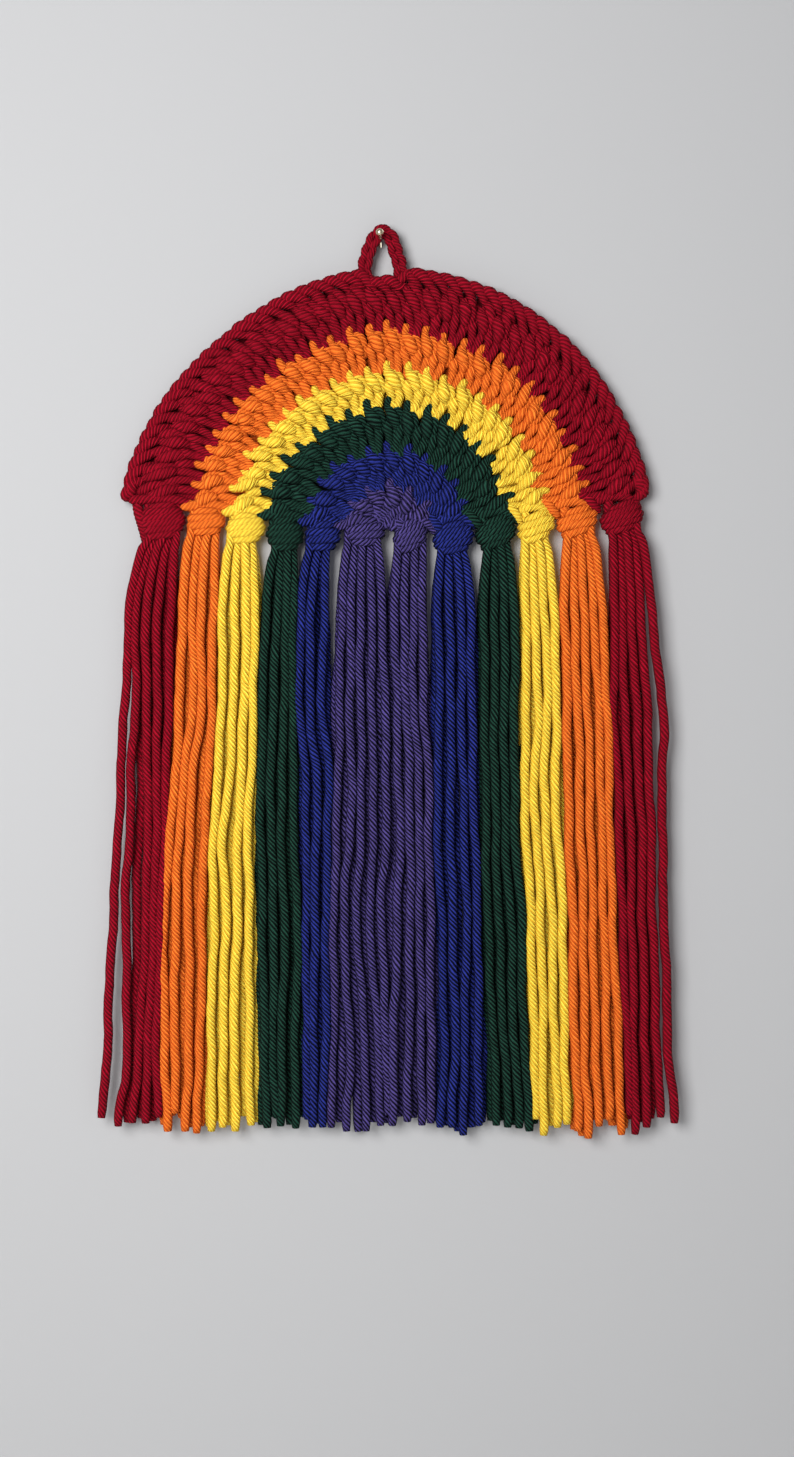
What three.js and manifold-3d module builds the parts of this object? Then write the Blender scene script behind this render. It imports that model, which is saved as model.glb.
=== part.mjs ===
// A crochet rainbow wall hanging: a half-round fan of six rows of double crochet, a corded
// edging, a chain loop hung on a brass pin, and twelve tassels tied into the row ends.
// Millimetres, +Z up. The front faces -Y, the wall is the plane y = 0, and the origin is
// where the pin enters the wall. A depth is measured from the wall, towards the viewer.
import * as THREE from 'three';
import Module from 'manifold-3d';
import { mergeVertices } from 'three/addons/utils/BufferGeometryUtils.js';

const wasm = await Module();
wasm.setup();

const DEGREE = Math.PI / 180;
const GAP = 0.3; // left between pieces that touch on the real thing

const YARN_COLOURS = {
  red: 0x9c1630,
  orange: 0xef7a1f,
  yellow: 0xf3d23c,
  green: 0x174a38,
  blue: 0x2b369a,
  purple: 0x5e4694,
};
const YARN_ROUGHNESS = 0.95;
const BRASS = { color: 0xc79a45, roughness: 0.3, metalness: 1 };

// The pin is driven in on a slope, so that its head stands in front of the loop.
const PIN = { slope: 28, shank: 1.2, head: 2.6, dome: 0.9, proud: 9.4, buried: 13, point: 2.5 };
const PIN_DOME = [ // shares of the head's diameter and of the dome's height
  { width: 1, height: 0.35 },
  { width: 0.64, height: 0.85 },
];

// The fan. Its rows end on two lines that rise from its centre by the foot angle.
const FAN = { x: 2.2, z: -102, foot: 7.5 };
// Where it is not half a circle, in degrees and shares of the radius: the rows within the
// orange one's edge are smaller on the left, the outer edge is flat at the left shoulder,
// and it flares at both lower corners.
const SMALL_SIDE = { from: 92, to: 112, share: 0.036 };
const FLAT_SHOULDER = { angle: 128, spread: 27, share: 0.036 };
const FLARE = { spread: 16, share: 0.02 };
const ROWS = [
  { colour: 'purple', stitches: 6, outer: 15.8, tooth: 1.0 },
  { colour: 'blue', stitches: 12, outer: 29.4, tooth: 1.3 },
  { colour: 'green', stitches: 18, outer: 45.4, tooth: 1.7 },
  { colour: 'yellow', stitches: 24, outer: 58.6, tooth: 2.3 },
  { colour: 'orange', stitches: 30, outer: 72.9, tooth: 3.1 },
  { colour: 'red', stitches: 36, outer: 89.8, tooth: 0.9 },
];
const FIRST_ROW_FOOT = 4.3; // how far above the centre the first row's straight foot lies

// Depths of one stitch's front, from its foot to its top: in the gap beside it, on its two
// legs, and between them, where the yarn is wrapped round at half height.
const STITCH_FRONT = [
  { at: 0.1, gap: 3.0, leg: 4.9, middle: 3.7 },
  { at: 0.5, gap: 2.5, leg: 4.7, middle: 5.7 },
  { at: 0.9, gap: 3.3, leg: 5.6, middle: 6.0 },
];
const STITCH_LEAN = 0.4; // how far its top leans to the left, in stitches
const STITCH_BACK = { at: 0.5, gap: 2.0, rib: 1.1 };
const ROW_EDGE = { front: 3.9, back: 1.9 };

// The edging, in two lengths that end at the loop's legs.
const EDGING = {
  outer: 95.3,
  scallop: 0.45,
  lumps: 19, // in each length
  crest: 6.3,
  shoulder: 5.8,
  hollow: 4.5,
  back: 1.3,
  backAt: 0.5,
  low: { at: 0.3, slant: -0.6 }, // how high a lump's two lines are and, in half lumps,
  high: { at: 0.75, slant: 0.2 }, // how far they lean
};
const EDGING_STOPS = { right: 33, left: 39 }; // in half stitches of the red row

// The loop, a chain whose two ends stand on the red row. Places on its middle line.
const LOOP = { width: 5.2, depth: 4.6, depthAt: 3.6, link: 4.6, swell: 0.1, sides: 8 };
const LOOP_LINE = [
  { x: -5.4, z: -12.0 },
  { x: -6.0, z: -6.0 },
  { x: -5.7, z: -0.6 },
  { x: -3.4, z: 4.2 },
  { x: 1.2, z: 6.0 },
  { x: 5.4, z: 4.0 },
  { x: 7.2, z: -0.8 },
  { x: 7.9, z: -6.0 },
  { x: 9.8, z: -11.7 },
];

// The tassels, left to right: the knot's sides, its lowest point, the left and right sides
// of the strands at the knot and at three heights, and the strands in its front layer.
const STRAND = { width: 3.0, depth: 3.4, apart: 0.35, front: 7.0, back: 3.1 };
const HEIGHTS = { shoulder: -134, middle: -242 };
const KNOT = { depthAt: 5.2, depth: 8.6, points: 12, rib: 0.3, rooted: 2.5 };
const KNOT_PROFILE = [
  { at: 0, width: 0.66, depth: 0.62, ribbed: 0 },
  { at: 0.22, width: 0.94, depth: 0.94, ribbed: 0 },
  { at: 0.55, width: 1, depth: 1, ribbed: 1 },
  { at: 0.82, width: 0.94, depth: 0.92, ribbed: 1 },
  { at: 1, width: 0.84, depth: 0.8, ribbed: 1 },
];
const TASSELS = [
  { side: 'left', colour: 'red', knot: [-86.3, -69.9], under: -104.9, neck: [-83.8, -71.4],
    shoulder: [-91.4, -73.3], middle: [-97.1, -79.4], foot: [-99.3, -78.9], end: -314.8, front: 5 },
  { side: 'left', colour: 'orange', knot: [-69.4, -55.6], under: -103.5, neck: [-69.0, -57.5],
    shoulder: [-72.8, -58.3], middle: [-78.9, -62.1], foot: [-78.4, -62.9], end: -317.8, front: 4 },
  { side: 'left', colour: 'yellow', knot: [-55.1, -41.2], under: -106.3, neck: [-55.0, -44.5],
    shoulder: [-57.8, -43.8], middle: [-61.6, -45.9], foot: [-62.3, -44.6], end: -317.2, front: 4 },
  { side: 'left', colour: 'green', knot: [-40.7, -27.4], under: -109.2, neck: [-38.8, -29.4],
    shoulder: [-42.7, -30.4], middle: [-45.4, -28.0], foot: [-44.0, -28.6], end: -316.4, front: 4 },
  { side: 'left', colour: 'blue', knot: [-26.9, -14.0], under: -109.2, neck: [-26.6, -17.6],
    shoulder: [-29.9, -17.7], middle: [-27.5, -17.5], foot: [-28.1, -17.3], end: -316.6, front: 3 },
  { side: 'left', colour: 'purple', knot: [-12.4, 2.0], under: -107.4, neck: [-12.9, 0.5],
    shoulder: [-16.8, 3.2], middle: [-17.0, 1.4], foot: [-16.8, 0.3], end: -317.0, front: 5 },
  { side: 'right', colour: 'purple', knot: [4.9, 17.2], under: -109.2, neck: [5.1, 17.0],
    shoulder: [3.8, 19.0], middle: [2.0, 19.7], foot: [0.8, 19.7], end: -315.4, front: 5 },
  { side: 'right', colour: 'blue', knot: [19.2, 33.9], under: -110.0, neck: [20.6, 31.4],
    shoulder: [19.6, 34.8], middle: [20.2, 36.2], foot: [20.2, 37.6], end: -317.2, front: 4 },
  { side: 'right', colour: 'green', knot: [34.5, 49.1], under: -107.8, neck: [37.5, 46.9],
    shoulder: [35.5, 50.0], middle: [36.8, 52.2], foot: [38.2, 54.9], end: -316.6, front: 4 },
  { side: 'right', colour: 'yellow', knot: [49.7, 63.0], under: -105.6, neck: [50.6, 60.6],
    shoulder: [50.6, 64.5], middle: [52.8, 66.7], foot: [55.5, 68.2], end: -317.4, front: 4 },
  { side: 'right', colour: 'orange', knot: [63.6, 78.4], under: -103.5, neck: [66.3, 77.0],
    shoulder: [65.3, 81.6], middle: [67.3, 84.4], foot: [68.8, 88.9], end: -318.0, front: 5 },
  { side: 'right', colour: 'red', knot: [79.3, 94.8], under: -102.4, neck: [82.0, 93.7],
    shoulder: [82.4, 99.6], middle: [85.0, 103.4], foot: [89.5, 107.4], end: -316.2, front: 5 },
];
const UNEVEN_CUT = [0, -1.4, 0.9, -0.6, 1.5]; // strand ends above and below the foot

const object = new THREE.Group();

function yarn(colour) {
  return new THREE.MeshStandardMaterial({
    color: YARN_COLOURS[colour],
    roughness: YARN_ROUGHNESS,
    metalness: 0,
  });
}

function addPiece(name, geometry, material) {
  const mesh = new THREE.Mesh(geometry, material);
  mesh.name = name;
  object.add(mesh);
  return mesh;
}

function lerp(a, b, t) {
  return a + (b - a) * t;
}

// Geometry from points and triangles, turned so that its faces point out.
function closedGeometry(points, triangles) {
  let volume = 0;
  for (const [a, b, c] of triangles) {
    volume += points[a].clone().cross(points[b]).dot(points[c]);
  }
  const order = volume < 0 ? [0, 2, 1] : [0, 1, 2];
  const geometry = new THREE.BufferGeometry();
  geometry.setAttribute(
    'position',
    new THREE.Float32BufferAttribute(points.flatMap((p) => p.toArray()), 3),
  );
  geometry.setIndex(triangles.flatMap((t) => order.map((k) => t[k])));
  return geometry;
}

// Triangles between two lines of points, each running from 0 to 1 along the same way.
function zip(low, high) {
  const triangles = [];
  let i = 0;
  let j = 0;
  while (i < low.length - 1 || j < high.length - 1) {
    const nextLow = i < low.length - 1 ? low[i + 1].along : Infinity;
    const nextHigh = j < high.length - 1 ? high[j + 1].along : Infinity;
    if (nextLow <= nextHigh) {
      triangles.push([low[i].index, low[i + 1].index, high[j].index]);
      i += 1;
    } else {
      triangles.push([low[i].index, high[j + 1].index, high[j].index]);
      j += 1;
    }
  }
  return triangles;
}

// A closed skin over rings of equal count, with a flat cap at either end.
function loft(rings) {
  const points = rings.flat();
  const count = rings[0].length;
  const triangles = [];
  for (let r = 0; r < rings.length - 1; r += 1) {
    for (let k = 0; k < count; k += 1) {
      const a = r * count + k;
      const b = r * count + ((k + 1) % count);
      triangles.push([a, b, b + count], [a, b + count, a + count]);
    }
  }
  const last = (rings.length - 1) * count;
  for (let k = 1; k < count - 1; k += 1) {
    triangles.push([0, k + 1, k], [last, last + k, last + k + 1]);
  }
  return closedGeometry(points, triangles);
}

function toManifold(geometry) {
  const bare = geometry.clone();
  bare.deleteAttribute('normal');
  bare.deleteAttribute('uv');
  const merged = mergeVertices(bare, 1e-5);
  return new wasm.Manifold(new wasm.Mesh({
    numProp: 3,
    vertProperties: new Float32Array(merged.getAttribute('position').array),
    triVerts: new Uint32Array(merged.getIndex().array),
  }));
}

function fromManifold(solid) {
  const mesh = solid.getMesh();
  const geometry = new THREE.BufferGeometry();
  geometry.setAttribute('position', new THREE.Float32BufferAttribute(mesh.vertProperties, 3));
  geometry.setIndex(new THREE.Uint32BufferAttribute(mesh.triVerts, 1));
  return geometry;
}

function bell(off, spread) {
  return Math.exp(-((off / spread) ** 2));
}

// A point of the fan, from its angle in degrees, its radius and its depth.
function onFan(angle, radius, depth) {
  const inside = SMALL_SIDE.share
    * THREE.MathUtils.smoothstep(angle, SMALL_SIDE.from, SMALL_SIDE.to);
  const edge = FLAT_SHOULDER.share * bell(angle - FLAT_SHOULDER.angle, FLAT_SHOULDER.spread)
    - FLARE.share * (bell(angle, FLARE.spread) + bell(180 - angle, FLARE.spread));
  const [orange, red] = ROWS.slice(-2);
  const outward = THREE.MathUtils.clamp(
    (radius - orange.outer) / (red.outer - orange.outer), 0, 1);
  const r = radius * (1 - lerp(inside, edge, outward));
  return new THREE.Vector3(
    FAN.x + r * Math.cos(angle * DEGREE),
    -depth,
    FAN.z + r * Math.sin(angle * DEGREE),
  );
}

// The toothed line where a row meets the next: each stitch's top is a tooth between the
// feet of the row above. side is -1 for the row's own edge and 1 for the next row's.
function toothedEdge(row, side) {
  const count = 2 * row.stitches;
  const step = (180 - 2 * FAN.foot) / count;
  const steepness = (2 * row.tooth) / (row.outer * step * DEGREE);
  const offset = side * (GAP / 2) * Math.hypot(1, steepness);
  return Array.from({ length: count + 1 }, (_, i) => ({
    angle: FAN.foot + i * step,
    radius: row.outer + offset + (i % 2 ? row.tooth : -row.tooth),
  }));
}

// A band of stitches between two edges. front holds lines of points from its foot to its
// top, back one line, and each line's points run from the band's right end to its left.
function band(inner, outer, front, back) {
  const points = [];
  const from = inner[0].angle;
  const span = inner[inner.length - 1].angle - from;
  const laid = (line, depth) => line.map((p) => {
    points.push(onFan(p.angle, p.radius, depth ?? p.depth));
    return { index: points.length - 1, along: (p.angle - from) / span, radius: p.radius };
  });
  const frontLines = [laid(inner, ROW_EDGE.front), ...front.map((l) => laid(l)),
    laid(outer, ROW_EDGE.front)];
  const backLines = [laid(inner, ROW_EDGE.back), laid(back), laid(outer, ROW_EDGE.back)];
  const triangles = [];
  for (let k = 0; k < frontLines.length - 1; k += 1) {
    triangles.push(...zip(frontLines[k], frontLines[k + 1]));
  }
  triangles.push(...zip(backLines[1], backLines[0]), ...zip(backLines[2], backLines[1]));
  triangles.push(...zip(backLines[0], frontLines[0]));
  triangles.push(...zip(frontLines.at(-1), backLines.at(-1)));
  for (const pick of [(line) => line[0], (line) => line.at(-1)]) {
    const rise = (lines) => lines.map((line) => {
      const end = pick(line);
      return { index: end.index, along: end.radius };
    });
    const wall = zip(rise(backLines), rise(frontLines));
    const turned = pick(inner) === inner[0];
    triangles.push(...(turned ? wall.map(([a, b, c]) => [a, c, b]) : wall));
  }
  return closedGeometry(points, triangles);
}

// A row of double crochet: each stitch is four columns wide, its gap, leg, middle and leg.
function crochetRow(row, inner, outer, innerLimit) {
  const from = inner[0].angle;
  const span = inner.at(-1).angle - from;
  const outerLimit = row.outer - row.tooth;
  const column = (k, perStitch, at, depth) => {
    const stitch = k / perStitch;
    const free = Math.min(1, stitch, row.stitches - stitch);
    const lean = STITCH_LEAN * (at - 0.5) * free;
    const angle = from + (span * (stitch + lean)) / row.stitches;
    return { angle, radius: lerp(innerLimit(angle), outerLimit, at), depth };
  };
  const front = STITCH_FRONT.map(({ at, gap, leg, middle }) => {
    const depths = [gap, leg, middle, leg];
    return Array.from({ length: 4 * row.stitches + 1 }, (_, k) => (
      column(k, 4, at, depths[k % 4])));
  });
  const back = Array.from({ length: 2 * row.stitches + 1 }, (_, k) => (
    column(k, 2, STITCH_BACK.at, k % 2 ? STITCH_BACK.rib : STITCH_BACK.gap)));
  return band(inner, outer, front, back);
}

// The first row stands on a straight foot instead of on a row.
function firstRow(row) {
  const outer = toothedEdge(row, -1).slice(1, -1);
  const footRadius = (angle) => FIRST_ROW_FOOT / Math.sin(angle * DEGREE);
  const inner = outer.map(({ angle }) => ({ angle, radius: footRadius(angle) }));
  return crochetRow(row, inner, outer, footRadius);
}

// One length of the edging, a slanting cord along the red row.
function edging(redEdge) {
  const from = redEdge[0].angle;
  const span = redEdge.at(-1).angle - from;
  const count = 2 * EDGING.lumps;
  const low = ROWS.at(-1).outer + ROWS.at(-1).tooth;
  const line = (at, slant, depths, scallop) => Array.from({ length: count + 1 }, (_, k) => {
    const free = Math.min(1, k, count - k);
    const angle = from + (span * (k + slant * free)) / count;
    const crest = k % 2;
    const radius = lerp(low, EDGING.outer, at) + (crest ? scallop : -scallop);
    return { angle, radius, depth: depths[crest] };
  });
  const front = [
    line(EDGING.low.at, EDGING.low.slant, [EDGING.hollow, EDGING.crest], 0),
    line(EDGING.high.at, EDGING.high.slant, [EDGING.hollow, EDGING.shoulder], 0),
  ];
  const flat = [EDGING.back, EDGING.back];
  const back = line(EDGING.backAt, 0, flat, 0);
  return band(redEdge, line(1, 0, flat, EDGING.scallop), front, back);
}

function addFan() {
  ROWS.forEach((row, k) => {
    const below = ROWS[k - 1];
    const geometry = below
      ? crochetRow(row, toothedEdge(below, 1), toothedEdge(row, -1),
        () => below.outer + below.tooth)
      : firstRow(row);
    addPiece(`row_${k + 1}_${row.colour}`, geometry, yarn(row.colour));
  });
  const onRed = toothedEdge(ROWS.at(-1), 1);
  const right = onRed.slice(0, EDGING_STOPS.right + 1);
  const left = onRed.slice(EDGING_STOPS.left);
  addPiece('edging_right', edging(right), yarn('red'));
  addPiece('edging_left', edging(left), yarn('red'));
}

// The chain loop: an oval cord that swells at each link, cut level at its two ends.
function addLoop() {
  const line = new THREE.CatmullRomCurve3(
    LOOP_LINE.map(({ x, z }) => new THREE.Vector3(x, -LOOP.depthAt, z)),
  );
  const links = Math.round(line.getLength() / LOOP.link);
  const steps = 3 * links;
  const rings = Array.from({ length: steps + 1 }, (_, k) => {
    const centre = line.getPointAt(k / steps);
    const along = line.getTangentAt(k / steps);
    const across = new THREE.Vector3(along.z, 0, -along.x);
    const size = 1 + (k % 3 === 0 ? -LOOP.swell : 0);
    return Array.from({ length: LOOP.sides }, (_, s) => {
      const turn = (2 * Math.PI * (s + 0.5)) / LOOP.sides;
      return centre.clone()
        .addScaledVector(across, (LOOP.width / 2) * size * Math.cos(turn))
        .add(new THREE.Vector3(0, (LOOP.depth / 2) * size * Math.sin(turn), 0));
    });
  });
  addPiece('hanging_loop', loft(rings), yarn('red'));
}

function addPin() {
  const profile = [
    [0, -PIN.buried],
    [PIN.shank / 2, -PIN.buried + PIN.point],
    [PIN.shank / 2, PIN.proud],
    [PIN.head / 2, PIN.proud],
    ...PIN_DOME.map(({ width, height }) => (
      [(width * PIN.head) / 2, PIN.proud + height * PIN.dome])),
    [0, PIN.proud + PIN.dome],
  ].map(([r, along]) => new THREE.Vector2(r, along));
  const pin = addPiece('pin', new THREE.LatheGeometry(profile, 16),
    new THREE.MeshStandardMaterial(BRASS));
  pin.rotation.x = (180 - PIN.slope) * DEGREE;
}

// A tassel's knot: a rounded lump whose lower part shows the strands as ribs.
function knotGeometry(tassel, top) {
  const [left, right] = tassel.knot;
  const rings = KNOT_PROFILE.map(({ at, width, depth, ribbed }) => (
    Array.from({ length: KNOT.points }, (_, k) => {
      const turn = (2 * Math.PI * k) / KNOT.points;
      const dent = ribbed * (k % 2 ? 0 : KNOT.rib);
      return new THREE.Vector3(
        (left + right) / 2 + ((width * (right - left)) / 2 - dent) * Math.cos(turn),
        -KNOT.depthAt + ((depth * KNOT.depth) / 2 - dent) * Math.sin(turn),
        lerp(top, tassel.under, at),
      );
    })
  ));
  return loft(rings);
}

// One layer of a tassel's strands, evenly spaced between its two sides at each height.
function layer(tassel, count, inset, depth, firstCut) {
  const levels = [
    { sides: tassel.neck, z: tassel.under + KNOT.rooted },
    { sides: tassel.neck, z: tassel.under - 1 },
    { sides: tassel.shoulder, z: HEIGHTS.shoulder },
    { sides: tassel.middle, z: HEIGHTS.middle },
    { sides: tassel.foot, z: tassel.end },
  ];
  return Array.from({ length: count }, (_, k) => {
    const cut = UNEVEN_CUT[(k + firstCut) % UNEVEN_CUT.length];
    return loft(levels.map(({ sides: [left, right], z: height }) => {
      const pitch = (right - left - STRAND.width) / (tassel.front - 1);
      const width = Math.min(STRAND.width, pitch - STRAND.apart);
      const x = left + STRAND.width / 2 + pitch * (k + inset);
      const z = height === tassel.end ? height + cut : height;
      return [
        new THREE.Vector3(x - width / 2, -depth, z),
        new THREE.Vector3(x, -depth - STRAND.depth / 2, z),
        new THREE.Vector3(x + width / 2, -depth, z),
        new THREE.Vector3(x, -depth + STRAND.depth / 2, z),
      ];
    }));
  });
}

// The fan's foot line at the inner side of a knot's top, which hangs just under it.
function footHeight(tassel) {
  if (tassel.colour === ROWS[0].colour) {
    return FAN.z + FIRST_ROW_FOOT * (1 - SMALL_SIDE.share);
  }
  const [left, right] = tassel.knot;
  const reach = Math.abs((left + right) / 2 - FAN.x);
  const inner = reach - (KNOT_PROFILE[0].width * (right - left)) / 2;
  return FAN.z + inner * Math.tan(FAN.foot * DEGREE);
}

function addTassels() {
  TASSELS.forEach((tassel, k) => {
    const knot = toManifold(knotGeometry(tassel, footHeight(tassel) - GAP));
    const strands = [
      ...layer(tassel, tassel.front, 0, STRAND.front, k),
      ...layer(tassel, tassel.front - 1, 0.5, STRAND.back, k + 2),
    ];
    const solid = strands.reduce((sum, strand) => sum.add(toManifold(strand)), knot);
    addPiece(`tassel_${tassel.side}_${tassel.colour}`, fromManifold(solid),
      yarn(tassel.colour));
  });
}

addPin();
addLoop();
addFan();
addTassels();

export default object;
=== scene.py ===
"""The looks of the crochet rainbow wall hanging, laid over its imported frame. In millimetres."""

import bpy
import numpy as np
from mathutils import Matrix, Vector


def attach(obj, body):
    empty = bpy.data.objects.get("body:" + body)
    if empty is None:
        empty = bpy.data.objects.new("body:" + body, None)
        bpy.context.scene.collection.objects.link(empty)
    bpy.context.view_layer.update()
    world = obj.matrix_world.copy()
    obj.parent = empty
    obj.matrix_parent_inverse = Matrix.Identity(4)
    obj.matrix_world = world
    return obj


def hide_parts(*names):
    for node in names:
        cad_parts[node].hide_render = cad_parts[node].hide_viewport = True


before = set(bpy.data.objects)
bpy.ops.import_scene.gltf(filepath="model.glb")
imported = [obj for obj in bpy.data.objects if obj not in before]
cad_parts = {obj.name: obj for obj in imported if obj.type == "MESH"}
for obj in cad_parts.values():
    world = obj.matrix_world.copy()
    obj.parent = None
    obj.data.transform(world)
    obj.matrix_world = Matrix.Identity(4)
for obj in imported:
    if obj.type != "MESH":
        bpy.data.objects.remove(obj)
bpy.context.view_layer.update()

# The rows of the fan.
# Six half rounds of double crochet in six colours, from one soft plied acrylic yarn that is
# spun to the left. Each row is worked into the tops of the row inside it.
MM = 0.001  # in metres
ROWS = [
    # name, slot, stitches, inner radius, outer radius
    ("row_1_purple", "purple_yarn", 6, 3.4, 15.4),
    ("row_2_blue", "blue_yarn", 12, 15.4, 28.6),
    ("row_3_green", "green_yarn", 18, 28.6, 44.3),
    ("row_4_yellow", "yellow_yarn", 24, 44.3, 57.1),
    ("row_5_orange", "orange_yarn", 30, 57.1, 71.5),
    ("row_6_red", "red_yarn", 36, 71.5, 86.6),
]
FAN_CENTRE = (2.2, -102.0)
ROW_END = 7.5  # degrees by which the rows' ends rise from the level
SMALLER = {"from": 92, "to": 112, "share": 0.036}  # the inner rows' left side
FLATTER = {"at": 128, "spread": 27, "share": 0.036}  # the left shoulder
FLARE = {"spread": 16, "share": 0.02}  # the two lower corners
FLAT_RADII = (72.9, 89.8)  # between which the inner rows' shape turns into the edge's
# The yarn as it is crocheted, its plies raised in the mesh. A full turn of the plies is in
# thicknesses of the yarn. The surface is in its radius, from one groove between the plies to the
# next, and goes so many times round the yarn. The tints lie between 0, duller, and 1, and differ at
# random from length to length. The crocheted yarn takes the lower range, which paints it darker
# than the hanging yarn, as painted shade.
WORKED = {"plies": 6, "turn": 2.75, "surface": (0.86, 1.0, 0.98), "around": 6, "tints": (0.0, 0.45)}
PLAIN_TINT = 0.5  # over it is yarn that is a plain tube, with its plies raised in the finish
PLY_UNEVEN = {"share": 0.06, "every": 5}  # how far plies stand out or in, in radii
TURN_UNEVEN = {"share": 0.06, "every": 8}  # how far their twist wanders, in turns
FINE = 10  # short lengths between two places on a smooth line
chance = np.random.default_rng(11)


def smooth_line(places, step):
    """Points a step apart on a smooth line through places of x, y, z and a share of thickness."""
    p = np.array(places, float)
    p = np.vstack([2 * p[0] - p[1], p, 2 * p[-1] - p[-2]])
    t = np.linspace(0, 1, FINE, endpoint=False)[:, None]
    parts = []
    for a, b, c, d in zip(p, p[1:], p[2:], p[3:]):
        bend = 2 * a - 5 * b + 4 * c - d
        curl = 3 * b - a - 3 * c + d
        parts.append(0.5 * (2 * b + (c - a) * t + bend * t**2 + curl * t**3))
    fine = np.vstack([*parts, p[-2:-1]])
    far = np.concatenate([[0], np.cumsum(np.linalg.norm(np.diff(fine[:, :3], axis=0), axis=1))])
    at = np.linspace(0, far[-1], max(4, round(far[-1] / step) + 1))
    return np.stack([np.interp(at, far, column) for column in fine.T], axis=1)


def direction(vectors):
    return vectors / np.linalg.norm(vectors, axis=-1, keepdims=True)


def slow_chance(along, every, count):
    """Unevenness from -1 to 1 that changes slowly along the yarn, for each of a number of plies."""
    at = np.arange(int(along[-1] / every * 2) + 3) * every / 2
    draws = [np.interp(along, at, chance.uniform(-1, 1, len(at))) for _ in range(count)]
    return np.stack(draws, axis=1)


class Yarn:
    """Lengths of plied yarn that are gathered into one piece."""

    def __init__(self):
        self.points, self.corners, self.counts, self.marks, self.facing = [], [], [], [], []
        self.total = 0

    def lay(self, line, thick, spun):
        """Lays one length along a smooth line. Each face corner is marked with its place round the
        yarn in plies and along it in millimetres, and with the length's own tint. Each point is
        marked with how far it faces the front or the back, away from the lengths beside it; the
        finish paints shade where it faces less, at the sides where lengths touch."""
        surface = np.array(spun["surface"])
        sides = spun["around"] * len(surface)
        middle, share = line[:, :3], line[:, 3]
        ahead = direction(np.gradient(middle, axis=0))
        start_side = (0.3, 1.0, 0.2) if abs(ahead[0, 1]) < 0.9 else (1, 0, 0)
        side = np.empty_like(middle)
        side[0] = direction(np.cross(ahead[0], start_side))
        for k in range(1, len(middle)):
            side[k] = direction(side[k - 1] - ahead[k] * (side[k - 1] @ ahead[k]))
        over = np.cross(ahead, side)
        along = np.concatenate([[0], np.cumsum(np.linalg.norm(np.diff(middle, axis=0), axis=1))])
        places = np.arange(sides)
        uneven = slow_chance(along, PLY_UNEVEN["every"], spun["around"])[:, places // len(surface)]
        twist = along / (spun["turn"] * thick) + chance.random()
        twist = twist + TURN_UNEVEN["share"] * slow_chance(along, TURN_UNEVEN["every"], 1)[:, 0]
        mesh_twist = twist if len(surface) > 1 else np.zeros(len(twist))
        finish_twist = spun["plies"] * (twist - mesh_twist)
        angle = 2 * np.pi * (places / sides - mesh_twist[:, None])
        reach = (thick / 2) * share[:, None] * surface[places % len(surface)]
        reach = reach * (1 + PLY_UNEVEN["share"] * uneven)
        out = side[:, None] * np.cos(angle)[..., None] + over[:, None] * np.sin(angle)[..., None]
        rings = middle[:, None] + out * reach[..., None]
        count, tint = len(middle), chance.uniform(*spun["tints"])
        ring, place = np.meshgrid(np.arange(count - 1), places, indexing="ij")
        quad = [(ring, place), (ring, place + 1), (ring + 1, place + 1), (ring + 1, place)]
        faces = np.stack([r * sides + p % sides for r, p in quad], axis=-1).reshape(-1)

        def marks_at(r, p):
            round_it = p * spun["plies"] / sides + finish_twist[r]
            return np.stack([round_it, along[r], np.full(r.shape, tint)], axis=-1)

        marks = np.stack([marks_at(r, p) for r, p in quad], axis=-2).reshape(-1, 3)
        ends = np.concatenate([places[::-1], (count - 1) * sides + places])
        self.points.append(rings.reshape(-1, 3))
        self.corners.append(self.total + np.concatenate([faces, ends]))
        self.counts.append(np.concatenate([np.full(len(faces) // 4, 4), [sides, sides]]))
        self.marks.append(np.concatenate([marks, marks_at(ends // sides, ends % sides)]))
        self.facing.append(np.abs(out[..., 1]).ravel())
        self.total += count * sides

    def piece(self, name, finish, slot, *nodes):
        """Makes the gathered lengths one piece that stands for the CAD nodes."""
        made = bpy.data.meshes.new(name)
        points, corners = np.concatenate(self.points) * MM, np.concatenate(self.corners)
        counts = np.concatenate(self.counts)
        made.vertices.add(len(points))
        made.vertices.foreach_set("co", points.astype(np.float32).ravel())
        made.loops.add(len(corners))
        made.loops.foreach_set("vertex_index", corners.astype(np.int32))
        made.polygons.add(len(counts))
        made.polygons.foreach_set("loop_start", (np.cumsum(counts) - counts).astype(np.int32))
        made.update(calc_edges=True)
        mark = made.attributes.new("yarn", "FLOAT_VECTOR", "CORNER")
        mark.data.foreach_set("vector", np.concatenate(self.marks).astype(np.float32).ravel())
        facing = made.attributes.new("facing", "FLOAT", "POINT")
        facing.data.foreach_set("value", np.concatenate(self.facing).astype(np.float32))
        made.shade_smooth()
        return place_piece(made, finish, slot, *nodes)


hung_pieces = bpy.data.collections.new("hung_pieces")


def place_piece(mesh, finish, slot, *nodes):
    """Puts a mesh in the scene as a piece of the hanging."""
    piece = bpy.data.objects.new(mesh.name, mesh)
    bpy.context.scene.collection.objects.link(piece)
    hung_pieces.objects.link(piece)
    mesh.materials.append(finish)
    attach(piece, "root")
    if nodes:
        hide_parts(*nodes)
    return piece


class Value:
    """A socket in a finish, whose sums and products are its Math nodes."""

    def __init__(self, finish, socket):
        self.finish, self.socket = finish, socket

    def maths(self, operation, first, second):
        return self.finish.node("ShaderNodeMath", {"operation": operation}, {0: first, 1: second})

    def __add__(self, other):
        return self.maths("ADD", self, other)

    def __sub__(self, other):
        return self.maths("SUBTRACT", self, other)

    def __rsub__(self, other):
        return self.maths("SUBTRACT", other, self)

    def __mul__(self, other):
        return self.maths("MULTIPLY", self, other)

    __radd__ = __add__
    __rmul__ = __mul__


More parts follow.
